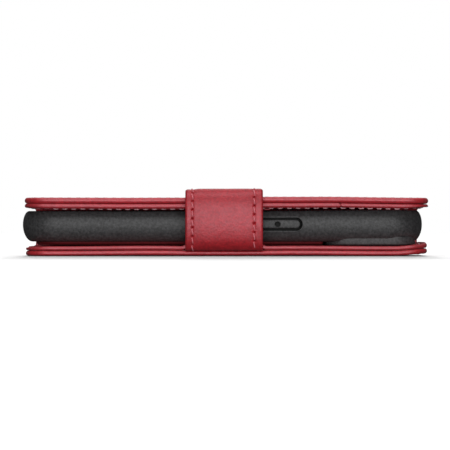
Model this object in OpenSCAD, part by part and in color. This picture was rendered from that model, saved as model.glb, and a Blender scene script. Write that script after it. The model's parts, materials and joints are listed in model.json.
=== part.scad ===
// Phone wallet case: a leather folio that closes round a moulded phone shell.
//
// The folio lies on its back cover. +X runs along the phone to its top edge,
// -Y is the opening side with the strap, +Y is the spine, and +Z is up. The
// origin is on the resting face, under the phone's centre line. All sizes are
// in millimetres.

/* [Phone] */
// Length of the phone that the shell holds
phone_len = 131.5; // [128:0.1:134]
// Width of the phone
phone_wid = 64.2; // [62:0.1:66]
// Thickness of the phone
phone_thk = 7.65; // [7.2:0.05:8.2]

/* [Shell] */
// Thickness of the shell's side walls
shell_wall = 2.15; // [1.9:0.05:2.3]
// Thickness of the shell's back wall
shell_floor = 1.35; // [1.2:0.05:1.6]
// Height of the lip above the phone's face
lip_height = 1.4; // [1:0.1:1.8]
// Corner radius of the shell, seen from above
shell_corner = 12.5; // [11:0.5:14]
// How far along X the shell sits from the folio's centre
shell_shift = -1.4; // [-1.6:0.1:0]
// Side of the square camera frame
camera_side = 30.9; // [28:0.1:32]

/* [Folio] */
// Length of the front cover
front_len = 138.4; // [137.6:0.1:140]
// Length of the back cover
back_len = 137.6; // [136:0.1:138]
// Thickness of one leather-covered panel: outer panel or lining panel
panel_thk = 1.65; // [1.5:0.05:1.8]
// Thickness of a single layer of leather
leather_thk = 0.6; // [0.5:0.05:0.7]
// Outer radius of the two folds beside the spine
fold_radius = 4; // [3.8:0.1:4.2]
// Corner radius at the covers' free corners
cover_corner = 8; // [6:0.5:10]
// How far the covers reach past the shell on the opening side
overhang = 2.75; // [2.4:0.05:3]

/* [Strap] */
// Width of the strap
strap_wid = 26.1; // [22:0.1:30]
// Where the strap's middle is along X
strap_x = -0.8; // [-4:0.1:4]
// Thickness of the padded strap
strap_thk = 2; // [1.9:0.05:2.1]
// How far the strap's tip reaches over the front cover
strap_reach = 28; // [24:1:34]

/* [Pockets] */
// X of the mouth of the first card pocket
pocket_mouth = 39; // [34:1:44]
// How far each card pocket's mouth steps back from the one behind it
pocket_step = 12; // [9:1:14]
// Thickness of a pocket panel
pocket_thk = 0.4; // [0.35:0.05:0.4]

/* [Stitching] */
// Distance from one stitch to the next
stitch_pitch = 3.07; // [2.6:0.01:4]
// Length of one stitch on the surface
stitch_len = 2.2; // [1.8:0.1:2.4]
// Diameter of the thread
thread_dia = 0.4; // [0.3:0.05:0.45]

/* [Hidden] */
$fn = 48;

// Finish colours
leather_red = "#a8303f";
lining_red = "#8f2433";
thread_pink = "#d98a94";
board_grey = "#8c8880";
moulded_black = "#2b2b2c";
steel = "#b9bcc0";

// Heights, from the resting face up
back_panel_z = panel_thk;                      // where the outer panel meets the lining panel
back_top_z = 2*panel_thk - 0.05;               // the lining that the shell lies on
bump_z = back_top_z + 0.2;                     // lowest face of the camera frame
skin_z = back_top_z + 0.4;                     // lowest face of the shell's leather
shell_z = skin_z + 1.1;                        // underside of the moulded back wall
floor_z = shell_z + shell_floor;               // what the phone lies on
phone_ease = 0.1;                              // gap above the phone, under the lip
lip_z = floor_z + phone_thk + phone_ease;      // underside of the lip
rim_z = lip_z + lip_height;                    // top of the shell
card_gap = 0.45;                               // between the shell's rim and the pockets
cards_z = rim_z + card_gap;                    // lowest card pocket panel
cash_z = cards_z + 3*pocket_thk;               // the long pocket for notes
lining_z = cash_z + pocket_thk;                // front lining sheet
lining_thk = leather_thk + 0.05;               // thickness of that sheet, with its backing
front_z = lining_z + lining_thk;               // where the front panels meet
front_top_z = front_z + panel_thk;             // top of the closed folio
rail_thk = panel_thk + 0.15;                   // thickness of the front lining's rolled edge
rail_z = front_z - rail_thk;                   // lowest line of that edge

// Outline of the shell
shell_half_x = phone_len/2 + shell_wall;
shell_half_y = phone_wid/2 + shell_wall;
waist_z = shell_z + 5.85;                      // where the side walls are widest
under_depth = 3.4;                             // how far the lower curve pulls in
upper_depth = 2.6;                             // how far the upper curve pulls in
lip_reach = 3;                                 // from the widest line in to the lip's edge
lip_slope = 0.5;                               // how much the lip's underside rises to its edge
curve_steps = 12;                              // points on each quarter of the wall's curve

// Camera frame, in the corner by the phone's top edge and the opening side
camera_inset_x = 1.7;                          // from the shell's top edge in to the frame
camera_inset_y = 1.45;                         // from the shell's side in to the frame
camera_x = shell_shift + shell_half_x - camera_inset_x - camera_side/2;
camera_y = -shell_half_y + camera_inset_y + camera_side/2;
camera_corner = 8;
lens_corner = camera_corner - 2;
lens_side = camera_side - 4.9;                 // opening inside the frame
window_side = camera_side - 2.4;               // opening in the back cover

// Covers
edge_y = -shell_half_y - overhang;             // the front cover's free edge
back_edge_y = edge_y + 0.4;                    // the back cover's free edge
fold_y = shell_half_y - 0.65;                  // where the flat covers end and the folds begin
spine_out_y = fold_y + fold_radius;            // outside of the spine
wrap = 1.2;                                    // width of the leather that wraps a panel's edge
rail_wid = 3.6;                                // width of the front lining's rolled edge
front_half = front_len/2;
back_half = back_len/2;
spine_len = back_len - 2.6;                    // the spine is cut in a little at both ends
low_fold_z = fold_radius;                      // height of the lower fold's centre
high_fold_z = front_top_z - fold_radius;       // height of the upper fold's centre

// Magnets and the plate they hold
magnet_dia = 10;
magnet_thk = back_top_z - back_panel_z - leather_thk;
magnet_places = concat([for (x = [-50, -16, 18], y = [-18, 18]) [x, y]], [[48, 18]]);
tip_magnet_dia = 14;
ease = 0.05;                                   // gap all round a part set in a hole

// Strap, seen from the side as two bends joined by straight runs
strap_in = 1.3;                                // inner radius of both bends
strap_out = strap_in + strap_thk;
strap_bend_y = edge_y + 0.1;                   // centre of both bends
strap_low_z = back_panel_z + 0.05 + strap_out; // centre of the lower bend
strap_high_z = front_top_z + 3.1 - strap_out;  // centre of the upper bend
strap_side_h = strap_high_z - strap_low_z;
strap_skin = 0.6;                              // leather on each face of the strap
strap_border = 3.5;                            // unpadded border on each long edge
strap_corner = 8;                              // corner radius of the tip
tip_slope = 2;                                 // degrees that the tip leans down to the cover
tab_thk = 0.4;
tab_reach = 12;                                // how far the tab runs in under the lining

// Stitch rows
stitch_inset = 2.6;                            // from a cover's edge
groove_wid = 0.8;
groove_deep = 0.45;
thread_proud = 0.1;                            // how far the thread stands out of its groove
rail_stitch_inset = 2;                         // from the front lining's edge
strap_stitch_inset = 2.4;

// Buttons in the side walls
button_z = waist_z + 0.1;
button_gap = 0.6;                              // groove round a button
button_tall = 2.9;
power_x = 17.5;
power_len = 15.4;
volume_len = 9.4;
volume_up_x = 25;
volume_down_x = 12.5;
mute_x = 39;
mute_len = 9.6;
mute_tall = 4.8;
flange_thk = 0.5;
flange_edge = 1.5;                             // how far the flange stands out round a button
flange_room = 1.2;                             // the same for the space it moves in
dimple_dia = 1.9;

// Openings at the phone's bottom end
port_len = 13;
port_tall = 6;
speaker_dia = 1.7;
speaker_first = 10.4;                          // from the middle to the nearest hole
speaker_pitch = 2.6;

// ---- Outlines -----------------------------------------------------------

// A cover seen from above: square at the fold, round at the two free corners.
module flap2d(half, y0, y1, r) {
  translate([-half, y0 + r]) square([2*half, y1 - y0 - r]);
  translate([-half + r, y0]) square([2*(half - r), r + 1]);
  for (s = [-1, 1]) translate([s*(half - r), y0 + r]) circle(r);
}

// The U-shaped line of a stitch row, as wide as its groove.
module groove2d(half, y0, y1, r, inset) {
  a = inset - groove_wid/2;
  b = inset + groove_wid/2;
  difference() {
    flap2d(half - a, y0 + a, y1, r - a);
    flap2d(half - b, y0 + b, y1 + 1, r - b);
  }
}

module round_rect2d(x, y, r) {
  square([x - 2*r, y], center = true);
  square([x, y - 2*r], center = true);
  for (i = [-1, 1], j = [-1, 1]) translate([i*(x/2 - r), j*(y/2 - r)]) circle(r);
}

module pill2d(len, tall) {
  square([len - tall, tall], center = true);
  for (s = [-1, 1]) translate([s*(len - tall)/2, 0]) circle(d = tall);
}

// A quarter of a ring, in the quadrant that sx and sy point to.
module quarter_ring2d(r_in, r_out, sx, sy) {
  intersection() {
    difference() {
      circle(r_out);
      circle(r_in);
    }
    translate([sx < 0 ? -r_out : 0, sy < 0 ? -r_out : 0]) square(r_out);
  }
}

// Draws a Y-Z outline and runs it along X, about the given middle.
module along_x(len, middle = 0) {
  translate([middle - len/2, 0, 0]) rotate([90, 0, 90]) linear_extrude(len) children();
}

// Runs an X-Z outline along Y, from y0 to y1.
module along_y(y0, y1) {
  translate([0, y1, 0]) rotate([90, 0, 0]) linear_extrude(y1 - y0) children();
}

module slab(z0, z1) {
  translate([0, 0, z0]) linear_extrude(z1 - z0) children();
}

// ---- Stitching ----------------------------------------------------------

// Place and direction at distance s along a cover's U-shaped stitch line.
function flap_length(half, y0, y1, r) = 2*(y1 - y0 - r) + PI*r + 2*(half - r);
function flap_point(s, half, y0, y1, r) =
  let (side = y1 - y0 - r, arc = PI*r/2, run = 2*(half - r))
  s < side ? [-half, y1 - s, -90] :
  s < side + arc ?
    let (t = (s - side)/r*180/PI)
    [-half + r - r*cos(t), y0 + r - r*sin(t), t - 90] :
  s < side + arc + run ? [-half + r + s - side - arc, y0, 0] :
  s < side + 2*arc + run ?
    let (t = (s - side - arc - run)/r*180/PI)
    [half - r + r*sin(t), y0 + r - r*cos(t), t] :
  [half, y0 + r + s - side - 2*arc - run, 90];

module stitch() {
  rotate([0, 90, 0]) cylinder(d = thread_dia, h = stitch_len, center = true);
}

// The stitches round a cover, with their middles at height z.
module flap_stitches(half, y0, y1, r, inset, z) {
  h = half - inset;
  y = y0 + inset;
  c = r - inset;
  total = flap_length(h, y, y1, c);
  count = floor(total/stitch_pitch);
  start = (total - (count - 1)*stitch_pitch)/2;
  for (i = [0:count - 1]) {
    p = flap_point(start + i*stitch_pitch, h, y, y1, c);
    translate([p[0], p[1], z]) rotate([0, 0, p[2]]) stitch();
  }
}

// ---- Back cover ---------------------------------------------------------

module back_outline(inset = 0) {
  flap2d(back_half - inset, back_edge_y + inset, fold_y, cover_corner - inset);
}

module camera_window() {
  translate([camera_x, camera_y]) round_rect2d(window_side, window_side, camera_corner - 1);
}

module back_groove() {
  groove2d(back_half, back_edge_y, fold_y, cover_corner, stitch_inset);
}

module back_leather() {
  color(leather_red) difference() {
    slab(0, back_panel_z) back_outline();
    slab(leather_thk, back_panel_z + 1) back_outline(wrap);
    slab(-1, back_panel_z + 1) camera_window();
    slab(-1, groove_deep) back_groove();
  }
}

module back_board() {
  color(board_grey) difference() {
    slab(leather_thk, back_panel_z) back_outline(wrap);
    slab(0, back_panel_z + 1) camera_window();
  }
}

module tab_space() {
  translate([strap_x - strap_wid/2, back_edge_y - 1, back_panel_z - 1])
    cube([strap_wid, tab_reach + 1, 1 + tab_thk]);
}

module back_lining() {
  sheet_z = back_top_z - leather_thk;
  color(lining_red) difference() {
    slab(back_panel_z, back_top_z) back_outline();
    slab(back_panel_z - 1, sheet_z) back_outline(wrap);
    slab(0, back_top_z + 1) camera_window();
    slab(back_top_z - groove_deep, back_top_z + 1) back_groove();
    tab_space();
  }
}

module magnet_discs(dia, z0, z1) {
  for (p = magnet_places) translate([p[0], p[1], z0]) cylinder(d = dia, h = z1 - z0);
}

module back_lining_board() {
  sheet_z = back_top_z - leather_thk;
  color(board_grey) difference() {
    slab(back_panel_z, sheet_z) back_outline(wrap);
    slab(0, back_top_z) camera_window();
    magnet_discs(magnet_dia + 2*ease, back_panel_z - 1, sheet_z + 1);
    tab_space();
  }
}

module back_magnets() {
  color(steel) magnet_discs(magnet_dia, back_panel_z, back_panel_z + magnet_thk);
}

module back_stitching() {
  color(thread_pink) {
    flap_stitches(back_half, back_edge_y, fold_y, cover_corner, stitch_inset,
                  back_top_z + thread_proud - thread_dia/2);
    flap_stitches(back_half, back_edge_y, fold_y, cover_corner, stitch_inset,
                  thread_dia/2 + 0.02);
  }
}

module strap_root_tab() {
  color(leather_red)
    translate([strap_x - strap_wid/2, strap_bend_y, back_panel_z])
      cube([strap_wid, tab_reach - 0.6, tab_thk]);
}

// ---- Spine and its folds ------------------------------------------------

module fold(r_in, r_out, z, up, len) {
  along_x(len) translate([fold_y, z]) quarter_ring2d(r_in, r_out, 1, up);
}

fold_filling = 1.7*leather_thk;                // between the leather and the lining of a fold
fold_lining_out = fold_radius - leather_thk - fold_filling;
fold_lining_in = fold_lining_out - leather_thk;

module back_fold_leather() {
  color(leather_red) fold(fold_radius - leather_thk, fold_radius, low_fold_z, -1, back_len);
}

module back_fold_lining() {
  color(lining_red) fold(fold_lining_in, fold_lining_out, low_fold_z, -1, back_len - 4);
}

module front_fold_leather() {
  color(leather_red) fold(fold_radius - leather_thk, fold_radius, high_fold_z, 1, front_len);
}

module front_fold_lining() {
  color(lining_red) fold(fold_lining_in, fold_lining_out, high_fold_z, 1, front_len - 4);
}

module spine_layer(y0, y1, len, trim = 0) {
  translate([-len/2, y0, low_fold_z + trim])
    cube([len, y1 - y0, high_fold_z - low_fold_z - 2*trim]);
}

module spine_leather() {
  color(leather_red) spine_layer(spine_out_y - leather_thk, spine_out_y, spine_len);
}

module spine_board() {
  color(board_grey)
    spine_layer(fold_y + fold_lining_out, spine_out_y - leather_thk, spine_len - 1, 0.4);
}

module spine_lining() {
  color(lining_red) spine_layer(fold_y + fold_lining_in, fold_y + fold_lining_out, spine_len - 1);
}

// ---- Front cover --------------------------------------------------------

module front_outline(inset = 0) {
  flap2d(front_half - inset, edge_y + inset, fold_y, cover_corner - inset);
}

module front_groove(inset) {
  groove2d(front_half, edge_y, fold_y, cover_corner, inset);
}

catch_y = edge_y + strap_reach - 11;           // under the strap's magnet

module front_leather() {
  color(leather_red) difference() {
    slab(front_z, front_top_z) front_outline();
    slab(front_z - 1, front_top_z - leather_thk) front_outline(wrap);
    slab(front_top_z - groove_deep, front_top_z + 1) front_groove(stitch_inset);
  }
}

module front_board() {
  color(board_grey) difference() {
    slab(front_z, front_top_z - leather_thk) front_outline(wrap);
    translate([strap_x, catch_y, 0]) cylinder(d = tip_magnet_dia + 2*ease, h = 40);
  }
}

module catch_plate() {
  color(steel) translate([strap_x, catch_y, front_z])
    cylinder(d = tip_magnet_dia, h = front_top_z - leather_thk - front_z);
}

module front_lining() {
  color(lining_red) difference() {
    slab(rail_z, front_z) front_outline();
    slab(rail_z - 1, lining_z) front_outline(rail_wid);
    slab(rail_z - 1, rail_z + groove_deep) front_groove(rail_stitch_inset);
  }
}

// A pocket panel inside the rolled edge, from the phone's bottom end to mouth_x.
module pocket_panel(z, mouth_x) {
  inset = rail_wid + 0.2;
  intersection() {
    slab(z, z + pocket_thk)
      flap2d(front_half - inset, edge_y + inset, fold_y - 0.5, cover_corner - inset);
    translate([-front_len, -front_len, 0]) cube([front_len + mouth_x, 2*front_len, 40]);
  }
}

module cash_pocket() {
  color(leather_red) pocket_panel(cash_z, front_half);
}

module card_pocket(n) {
  color(leather_red) pocket_panel(cash_z - n*pocket_thk, pocket_mouth - (n - 1)*pocket_step);
}

module front_stitching() {
  color(thread_pink) {
    flap_stitches(front_half, edge_y, fold_y, cover_corner, stitch_inset,
                  front_top_z + thread_proud - thread_dia/2);
    flap_stitches(front_half, edge_y, fold_y, cover_corner, rail_stitch_inset,
                  rail_z - thread_proud + thread_dia/2);
  }
}

// ---- Strap --------------------------------------------------------------

module strap_bend(z, up) {
  along_x(strap_wid, strap_x) translate([strap_bend_y, z])
    quarter_ring2d(strap_in, strap_out, -1, up);
}

module strap_lower_fold() {
  color(leather_red) strap_bend(strap_low_z, -1);
}

module strap_upper_fold() {
  color(leather_red) strap_bend(strap_high_z, 1);
}

// The strap's straight side, between two depths measured in from its outer face.
module side_layer(depth0, depth1, wid) {
  y = strap_bend_y - strap_out;
  translate([strap_x - wid/2, y + depth0, strap_low_z])
    cube([wid, depth1 - depth0, strap_side_h]);
}

filler_wid = strap_wid - 2*strap_border;
half_thk = strap_thk/2;

module strap_side_leather() {
  color(leather_red) difference() {
    side_layer(0, half_thk, strap_wid);
    side_layer(strap_skin, strap_thk, filler_wid);
  }
}

module strap_side_lining() {
  color(lining_red) difference() {
    side_layer(half_thk, strap_thk, strap_wid);
    side_layer(0, strap_thk - strap_skin, filler_wid);
  }
}

module strap_side_filler() {
  color(board_grey) side_layer(strap_skin, strap_thk - strap_skin, filler_wid);
}

module strap_side_stitching() {
  count = floor(strap_side_h/stitch_pitch);
  start = strap_low_z + (strap_side_h - (count - 1)*stitch_pitch)/2;
  color(thread_pink)
    for (s = [-1, 1], i = [0:count - 1])
      translate([strap_x + s*(strap_wid/2 - strap_stitch_inset),
                 strap_bend_y - strap_out - thread_dia/2 - 0.01,
                 start + i*stitch_pitch])
        rotate([0, 90, 0]) stitch();
}

// Puts what is drawn flat on the strap's upper bend, leaning down to the cover.
module on_tip() {
  translate([strap_x, strap_bend_y, strap_high_z + strap_in])
    rotate([-tip_slope, 0, 0]) children();
}

// The tip's outline: square at the bend, round at the free end.
module tip2d(inset = 0) {
  mirror([0, 1]) flap2d(strap_wid/2 - inset, inset - strap_reach, 0, strap_corner - inset);
}

module tip_filler2d() {
  tip2d(strap_border);
}

module tip_magnet_hole(dia) {
  translate([0, catch_y - strap_bend_y, strap_skin])
    cylinder(d = dia, h = strap_thk - 2*strap_skin);
}

module strap_tip_leather() {
  color(leather_red) on_tip() difference() {
    slab(half_thk, strap_thk) tip2d();
    slab(0, strap_thk - strap_skin) tip_filler2d();
  }
}

module strap_tip_lining() {
  color(lining_red) on_tip() difference() {
    slab(0, half_thk) tip2d();
    slab(strap_skin, strap_thk) tip_filler2d();
  }
}

module strap_tip_filler() {
  color(board_grey) on_tip() difference() {
    slab(strap_skin, strap_thk - strap_skin) tip_filler2d();
    tip_magnet_hole(tip_magnet_dia + 2*ease);
  }
}

module strap_magnet() {
  color(steel) on_tip() tip_magnet_hole(tip_magnet_dia);
}

module strap_tip_stitching() {
  inset = strap_stitch_inset;
  color(thread_pink) on_tip() mirror([0, 1, 0])
    flap_stitches(strap_wid/2, -strap_reach, 0, strap_corner, inset,
                  strap_thk + thread_dia/2 + 0.01);
}

// ---- Shell --------------------------------------------------------------

// The outer curve of the wall: two quarter ellipses that meet at the waist.
function wall_curve() = concat(
  [for (i = [0:curve_steps])
    let (a = 90*i/curve_steps)
    [shell_corner - under_depth + under_depth*sin(a), waist_z - (waist_z - shell_z)*cos(a)]],
  [for (i = [1:curve_steps])
    let (a = 90*i/curve_steps)
    [shell_corner - upper_depth + upper_depth*cos(a), waist_z + (rim_z - waist_z)*sin(a)]]
);

inner_u = shell_corner - shell_wall;
floor_u = shell_corner - under_depth - 0.6;

module wall2d() {
  polygon(concat(
    [[floor_u, shell_z]],
    wall_curve(),
    [[shell_corner - lip_reach, rim_z], [shell_corner - lip_reach, lip_z + lip_slope],
     [inner_u, lip_z], [inner_u, floor_z], [floor_u, floor_z]]
  ));
}

// The whole height of the shell inside the wall's outer curve.
module wall_envelope2d() {
  polygon(concat([[0, shell_z]], wall_curve(), [[0, rim_z]]));
}

// Runs a wall outline round the shell: two long sides, two ends and four corners.
module round_shell() {
  cx = shell_half_x - shell_corner;
  cy = shell_half_y - shell_corner;
  for (s = [0, 1]) mirror([0, s, 0])
    translate([-cx, cy, 0]) rotate([90, 0, 90]) linear_extrude(2*cx) children();
  for (s = [0, 1]) mirror([s, 0, 0])
    translate([cx, cy, 0]) rotate([90, 0, 0]) linear_extrude(2*cy) children();
  for (i = [0, 1], j = [0, 1]) mirror([i, 0, 0]) mirror([0, j, 0])
    translate([cx, cy, 0]) rotate_extrude(angle = 90) children();
}

module camera_block(z0, side, r) {
  translate([camera_x, camera_y, z0]) linear_extrude(floor_z - z0) round_rect2d(side, side, r);
}

// A slot for a button: narrow outside, wide inside for the flange. far is -1 or 1.
module button_slot(x, len, far) {
  out = far*(shell_half_y + 1);
  wall_in = far*(shell_half_y - shell_wall);
  step = wall_in + far*0.8;
  gap = 2*button_gap;
  translate([x, 0, button_z]) {
    along_y(min(out, wall_in - far), max(out, wall_in - far))
      pill2d(len + gap, button_tall + gap);
    along_y(min(step, wall_in - far), max(step, wall_in - far))
      pill2d(len + gap + 2*flange_room, button_tall + gap + 2*flange_room);
  }
}

module port_openings() {
  port_z = floor_z + phone_thk/2;
  translate([shell_shift - shell_half_x - 1, 0, port_z]) rotate([90, 0, 90])
    linear_extrude(shell_wall + 2.5) {
      pill2d(port_len, port_tall);
      for (s = [-1, 1], i = [0:4])
        translate([s*(speaker_first + speaker_pitch*i), 0]) circle(d = speaker_dia, $fn = 24);
    }
}

module mute_window() {
  translate([mute_x, 0, button_z])
    along_y(shell_half_y - shell_wall - 1, shell_half_y + 1) pill2d(mute_len, mute_tall);
}

module shell() {
  color(moulded_black) difference() {
    union() {
      translate([shell_shift, 0, 0]) {
        round_shell() wall2d();
        slab(shell_z, floor_z)
          round_rect2d(2*(shell_half_x - under_depth - 0.2), 2*(shell_half_y - under_depth - 0.2),
                       shell_corner - under_depth - 0.2);
      }
      camera_block(bump_z, camera_side, camera_corner);
    }
    camera_block(bump_z - 1, lens_side, lens_corner);
    translate([camera_x, camera_y, floor_z - 0.5]) linear_extrude(1)
      round_rect2d(lens_side, lens_side, lens_corner);
    button_slot(power_x, power_len, -1);
    button_slot(volume_up_x, volume_len, 1);
    button_slot(volume_down_x, volume_len, 1);
    mute_window();
    port_openings();
  }
}

// A button with a curved face, a flange behind it and a dimple in the middle. far is -1 or 1.
module button(x, len, far) {
  wall_in = shell_half_y - shell_wall;
  color(moulded_black) difference() {
    union() {
      intersection() {
        translate([x, 0, button_z]) along_y(min(far*(wall_in + 0.1), far*(shell_half_y + 1)),
                                            max(far*(wall_in + 0.1), far*(shell_half_y + 1)))
          pill2d(len, button_tall);
        along_x(2*len, x) scale([far, 1])
          translate([shell_half_y - shell_corner, 0]) wall_envelope2d();
      }
      translate([x, 0, button_z])
        along_y(min(far*(wall_in + 0.1), far*(wall_in + 0.1 + flange_thk)),
                max(far*(wall_in + 0.1), far*(wall_in + 0.1 + flange_thk)))
          pill2d(len + 2*flange_edge, button_tall + 2*flange_edge);
    }
    translate([x, far*(shell_half_y - 0.5), button_z]) rotate([-90*far, 0, 0])
      cylinder(d = dimple_dia, h = 2);
  }
}

module power_button() {
  button(power_x, power_len, -1);
}

module volume_up_button() {
  button(volume_up_x, volume_len, 1);
}

module volume_down_button() {
  button(volume_down_x, volume_len, 1);
}

skin_inset = under_depth + 0.5;

// The leather on the shell's back, cut away round the camera frame.
module skin2d(inset = 0) {
  i = skin_inset + inset;
  notch = camera_side/2 + 0.6 + inset;
  difference() {
    translate([shell_shift, 0])
      round_rect2d(2*(shell_half_x - i), 2*(shell_half_y - i), shell_corner - i);
    translate([camera_x - notch, -shell_half_y - 1])
      square([shell_half_x, camera_y + notch + shell_half_y + 1]);
  }
}

module shell_leather() {
  color(leather_red) difference() {
    slab(skin_z, shell_z) skin2d();
    slab(skin_z + leather_thk, shell_z + 1) skin2d(1.5);
  }
}

module shell_plate() {
  color(steel) slab(skin_z + leather_thk, shell_z) skin2d(1.5 + ease);
}

// ---- The nodes ----------------------------------------------------------

back_leather();
back_board();
back_lining();
back_lining_board();
back_magnets();
back_stitching();
strap_root_tab();
back_fold_leather();
back_fold_lining();
spine_leather();
spine_board();
spine_lining();
front_fold_leather();
front_fold_lining();
front_leather();
front_board();
front_lining();
cash_pocket();
card_pocket(1);  // card_pocket_1
card_pocket(2);  // card_pocket_2
card_pocket(3);  // card_pocket_3
catch_plate();
front_stitching();
strap_lower_fold();
strap_side_leather();
strap_side_lining();
strap_side_filler();
strap_side_stitching();
strap_upper_fold();
strap_tip_leather();
strap_tip_lining();
strap_tip_filler();
strap_magnet();
strap_tip_stitching();
shell();
shell_plate();
shell_leather();
power_button();
volume_up_button();
volume_down_button();
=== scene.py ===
"""Looks of the phone wallet case: leather covers, strap, stitches and moulded shell, round the CAD frame.

Lengths in this script are millimetres until a mesh is made. Places come from the CAD nodes' boxes.
"""

import json
import math
import random

import bmesh
import bpy
import numpy as np
from mathutils import Matrix, Vector


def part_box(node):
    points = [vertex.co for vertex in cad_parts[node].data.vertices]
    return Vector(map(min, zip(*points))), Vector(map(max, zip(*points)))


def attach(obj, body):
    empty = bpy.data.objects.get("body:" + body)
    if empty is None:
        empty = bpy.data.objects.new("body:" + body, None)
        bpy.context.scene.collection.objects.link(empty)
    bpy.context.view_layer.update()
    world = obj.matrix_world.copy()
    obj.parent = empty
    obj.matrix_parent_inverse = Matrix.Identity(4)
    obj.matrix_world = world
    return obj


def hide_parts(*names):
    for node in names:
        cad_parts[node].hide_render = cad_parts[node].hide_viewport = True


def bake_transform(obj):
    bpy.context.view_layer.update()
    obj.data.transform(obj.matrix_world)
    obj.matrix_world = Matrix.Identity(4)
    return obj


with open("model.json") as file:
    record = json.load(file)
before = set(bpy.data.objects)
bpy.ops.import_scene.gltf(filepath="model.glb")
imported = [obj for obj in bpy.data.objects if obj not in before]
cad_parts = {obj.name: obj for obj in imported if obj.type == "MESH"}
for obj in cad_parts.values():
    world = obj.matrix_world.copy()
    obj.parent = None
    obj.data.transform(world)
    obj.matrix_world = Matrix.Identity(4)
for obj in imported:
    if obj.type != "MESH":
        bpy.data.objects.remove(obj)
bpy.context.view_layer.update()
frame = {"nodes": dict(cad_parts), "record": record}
MM = 0.001
rng = random.Random(7)


# ---- Camera ----

EYE = (-0.5, -2000.0, 10.44)  # far off, level with the middle of the closed case
VIEW_WIDTH = 153.6  # width of what the camera sees at the case's open edge
OPEN_EDGE_Y = -38.0
SENSOR = 36.0


def in_scene(name, data):
    """A new object in the scene that shows data."""
    item = bpy.data.objects.new(name, data)
    bpy.context.scene.collection.objects.link(item)
    return item


camera_data = bpy.data.cameras.new("camera")
camera = in_scene("camera", camera_data)
bpy.context.scene.camera = camera
camera.location = Vector(EYE) * MM
camera.rotation_euler = (math.pi / 2, 0, 0)
camera_data.sensor_width = SENSOR
camera_data.lens = SENSOR * (OPEN_EDGE_Y - EYE[1]) / VIEW_WIDTH
camera_data.clip_start = 0.01
camera_data.clip_end = 20


# ---- Sizes from the CAD frame ----

def box(node):
    """Lowest and highest corner of a CAD node, in millimetres."""
    low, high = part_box(node)
    return np.array(low) / MM, np.array(high) / MM


front_high = box("front_leather")[1]
spine_low, spine_high = box("spine_leather")
strap_low, strap_high = box("strap_side_leather")
tip_low, tip_high = box("strap_tip_leather")
shell_low, shell_high = box("shell")
skin_low, skin_high = box("shell_leather")

FOLD_Y = front_high[1]  # where the flat covers end and the folds begin
FOLD_R = spine_high[1] - FOLD_Y
TOP_Z = front_high[2]
CORNER = 8.0  # corner radius at the covers' free corners
SPINE_MID = (spine_low[2] + spine_high[2]) / 2
SEAM_HALF = spine_high[0]


# ---- Mesh helpers ----

def new_object(name, points, faces, sharp=40.0):
    """A smooth mesh object from points in millimetres, creased where faces meet at over sharp degrees."""
    mesh = bpy.data.meshes.new(name)
    mesh.from_pydata([tuple(p) for p in np.asarray(points) * MM], [], faces)
    mesh.validate()
    tidy = bmesh.new()
    tidy.from_mesh(mesh)
    bmesh.ops.remove_doubles(tidy, verts=tidy.verts, dist=1e-6)
    bmesh.ops.dissolve_degenerate(tidy, edges=tidy.edges, dist=1e-7)
    bmesh.ops.recalc_face_normals(tidy, faces=tidy.faces)
    tidy.to_mesh(mesh)
    tidy.free()
    crease(mesh, sharp)
    return in_scene(name, mesh)


def crease(mesh, sharp):
    mesh.polygons.foreach_set("use_smooth", [True] * len(mesh.polygons))
    mesh.set_sharp_from_angle(angle=math.radians(sharp))


def ease(x, low, high):
    """0 up to low, 1 from high on, and a smooth step between."""
    t = min(max((x - low) / (high - low), 0.0), 1.0)
    return t * t * (3 - 2 * t)


def fade(x, low, high):
    return 1 - ease(x, low, high)


def hump(x, middle, width):
    """A soft hump of height 1 round middle."""
    return math.exp(-((x - middle) / width) ** 2)


def roll_offsets(radius, steps=6):
    """Distances in from an edge that resolve a half-round edge of that radius."""
    return [radius * (1 - math.cos(math.pi / 2 * i / steps)) for i in range(steps + 1)]


def flap_half(y, y0, half, corner):
    """Half the length along X of a cover with two round corners, at height y in its outline."""
    d = corner - (y - y0)
    return half if d <= 0 else half - corner + math.sqrt(max(corner ** 2 - d ** 2, 0))


def flap_distance(x, y, y0, half, corner):
    """How far (x, y) is in from the outline of a cover that is open on its far side."""
    qx = abs(x) - (half - corner)
    qy = (y0 + corner) - y
    if qx > 0 and qy > 0:
        return corner - math.hypot(qx, qy)
    return min(half - abs(x), y - y0)


def grid_faces(rows, cols, offset=0):
    corners = [offset + i * cols + j for i in range(rows - 1) for j in range(cols - 1)]
    return [(a, a + 1, a + cols + 1, a + cols) for a in corners]


LONGEST_ROLL = 1.1  # how far in a rolled edge reaches at most
LEAST_GAP = 0.4  # between an even column and an extra one


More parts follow.
